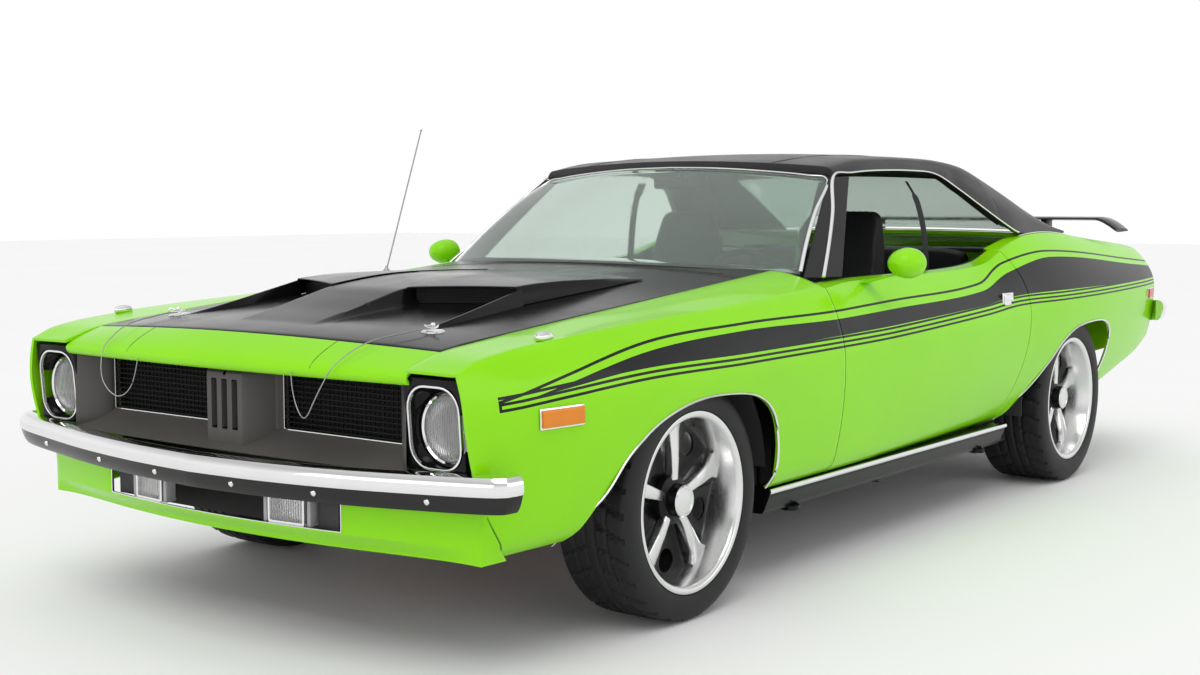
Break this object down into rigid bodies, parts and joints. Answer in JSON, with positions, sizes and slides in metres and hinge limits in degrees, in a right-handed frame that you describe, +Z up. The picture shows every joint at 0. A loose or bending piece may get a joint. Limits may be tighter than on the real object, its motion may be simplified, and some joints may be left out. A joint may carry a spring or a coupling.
{
  "type": "muscle car",
  "caption": "Two-door lime green muscle car with black hood, vinyl roof and side stripe, opening doors, hood and deck lid, steered front wheels and a rear wing",
  "frame": {"origin": "On the ground, at the middle of the length and of the width", "axes": "+X is the left side of the car, +Y its rear, +Z up"},
  "size_m": [2.116, 4.895, 1.3851],
  "materials": {
    "lime_paint": "gloss lime green paint with a satin black side stripe",
    "satin_black": "satin black paint",
    "vinyl": "black grained vinyl",
    "argent": "dark silver grey paint",
    "chrome": "polished chrome",
    "polished_alloy": "polished alloy with black pockets",
    "tyre": "black tyre rubber",
    "chassis_steel": "black chassis paint",
    "cast": "bare cast iron",
    "engine_paint": "orange engine enamel",
    "trim": "grained black plastic",
    "seat_vinyl": "black sewn vinyl",
    "glass": "green tinted glass",
    "lamp_glass": "fluted clear glass",
    "red_lens": "red lens",
    "amber_lens": "amber and red marker lenses"
  },
  "bodies": {
    "root": {"floor_pan": "chassis_steel", "rocker_sills": "satin_black", "engine_bay": "chassis_steel", "cowl_panel": "satin_black", "radiator": "chassis_steel", "engine_block": "engine_paint", "chassis_rails": "chassis_steel", "wheel_wells": "chassis_steel", "rear_axle": "chassis_steel", "leaf_springs": "chassis_steel", "exhaust": "chrome", "fuel_tank": "chassis_steel", "front_fenders": "lime_paint", "header_panel": "lime_paint", "grille": "argent", "headlights": "lamp_glass", "front_valance": "lime_paint", "front_bumper": "chrome", "side_markers": "amber_lens", "quarter_panels": "lime_paint", "quarter_trim": "trim", "roof": "vinyl", "windshield": "glass", "rear_window": "glass", "parcel_shelf": "trim", "tail_panel": "lime_paint", "tail_lights": "red_lens", "rear_bumper": "chrome", "dashboard": "trim", "steering_wheel": "trim", "bucket_seats": "seat_vinyl", "rear_seat": "seat_vinyl", "antenna": "chrome"},
    "hood": {"hood": "satin_black", "hood_pins": "chrome", "lanyard_left": "chrome", "lanyard_right": "chrome"},
    "deck_lid": {"deck_lid": "lime_paint", "rear_wing": "satin_black"},
    "door_left": {"door_left": "lime_paint"},
    "door_right": {"door_right": "lime_paint"},
    "steer_left": {"knuckle_left": "cast"},
    "steer_right": {"knuckle_right": "cast"},
    "wheel_front_left": {"rim_front_left": "polished_alloy", "tyre_front_left": "tyre"},
    "wheel_front_right": {"rim_front_right": "polished_alloy", "tyre_front_right": "tyre"},
    "wheel_rear_left": {"rim_rear_left": "polished_alloy", "tyre_rear_left": "tyre"},
    "wheel_rear_right": {"rim_rear_right": "polished_alloy", "tyre_rear_right": "tyre"}
  },
  "joints": [
    {"name": "steer_left", "type": "hinge", "parent": "root", "child": "steer_left", "pos_m": [0.705, -1.4715, 0.324], "axis": [0, 0, 1], "range_deg": [-30, 30]},
    {"name": "steer_right", "type": "hinge", "parent": "root", "child": "steer_right", "pos_m": [-0.705, -1.4715, 0.324], "axis": [0, 0, 1], "range_deg": [-30, 30]},
    {"name": "roll_front_left", "type": "hinge", "parent": "steer_left", "child": "wheel_front_left", "pos_m": [0.897, -1.4715, 0.324], "axis": [1, 0, 0], "continuous": true},
    {"name": "roll_front_right", "type": "hinge", "parent": "steer_right", "child": "wheel_front_right", "pos_m": [-0.897, -1.4715, 0.324], "axis": [1, 0, 0], "continuous": true},
    {"name": "roll_rear_left", "type": "hinge", "parent": "root", "child": "wheel_rear_left", "pos_m": [0.924, 1.2715, 0.336], "axis": [1, 0, 0], "continuous": true},
    {"name": "roll_rear_right", "type": "hinge", "parent": "root", "child": "wheel_rear_right", "pos_m": [-0.924, 1.2715, 0.336], "axis": [1, 0, 0], "continuous": true},
    {"name": "door_left_hinge", "type": "hinge", "parent": "root", "child": "door_left", "pos_m": [0.93, -0.7, 0.6], "axis": [0, 0, -1], "range_deg": [0, 62]},
    {"name": "door_right_hinge", "type": "hinge", "parent": "root", "child": "door_right", "pos_m": [-0.93, -0.7, 0.6], "axis": [0, 0, 1], "range_deg": [0, 62]},
    {"name": "hood_hinge", "type": "hinge", "parent": "root", "child": "hood", "pos_m": [0, -0.8905, 0.93], "axis": [-1, 0, 0], "range_deg": [0, 50]},
    {"name": "deck_lid_hinge", "type": "hinge", "parent": "root", "child": "deck_lid", "pos_m": [0, 1.5605, 1.008], "axis": [1, 0, 0], "range_deg": [0, 65]}
  ],
  "couplings": [
    {"joint": "steer_right", "follows": "steer_left", "ratio": 1}
  ]
}
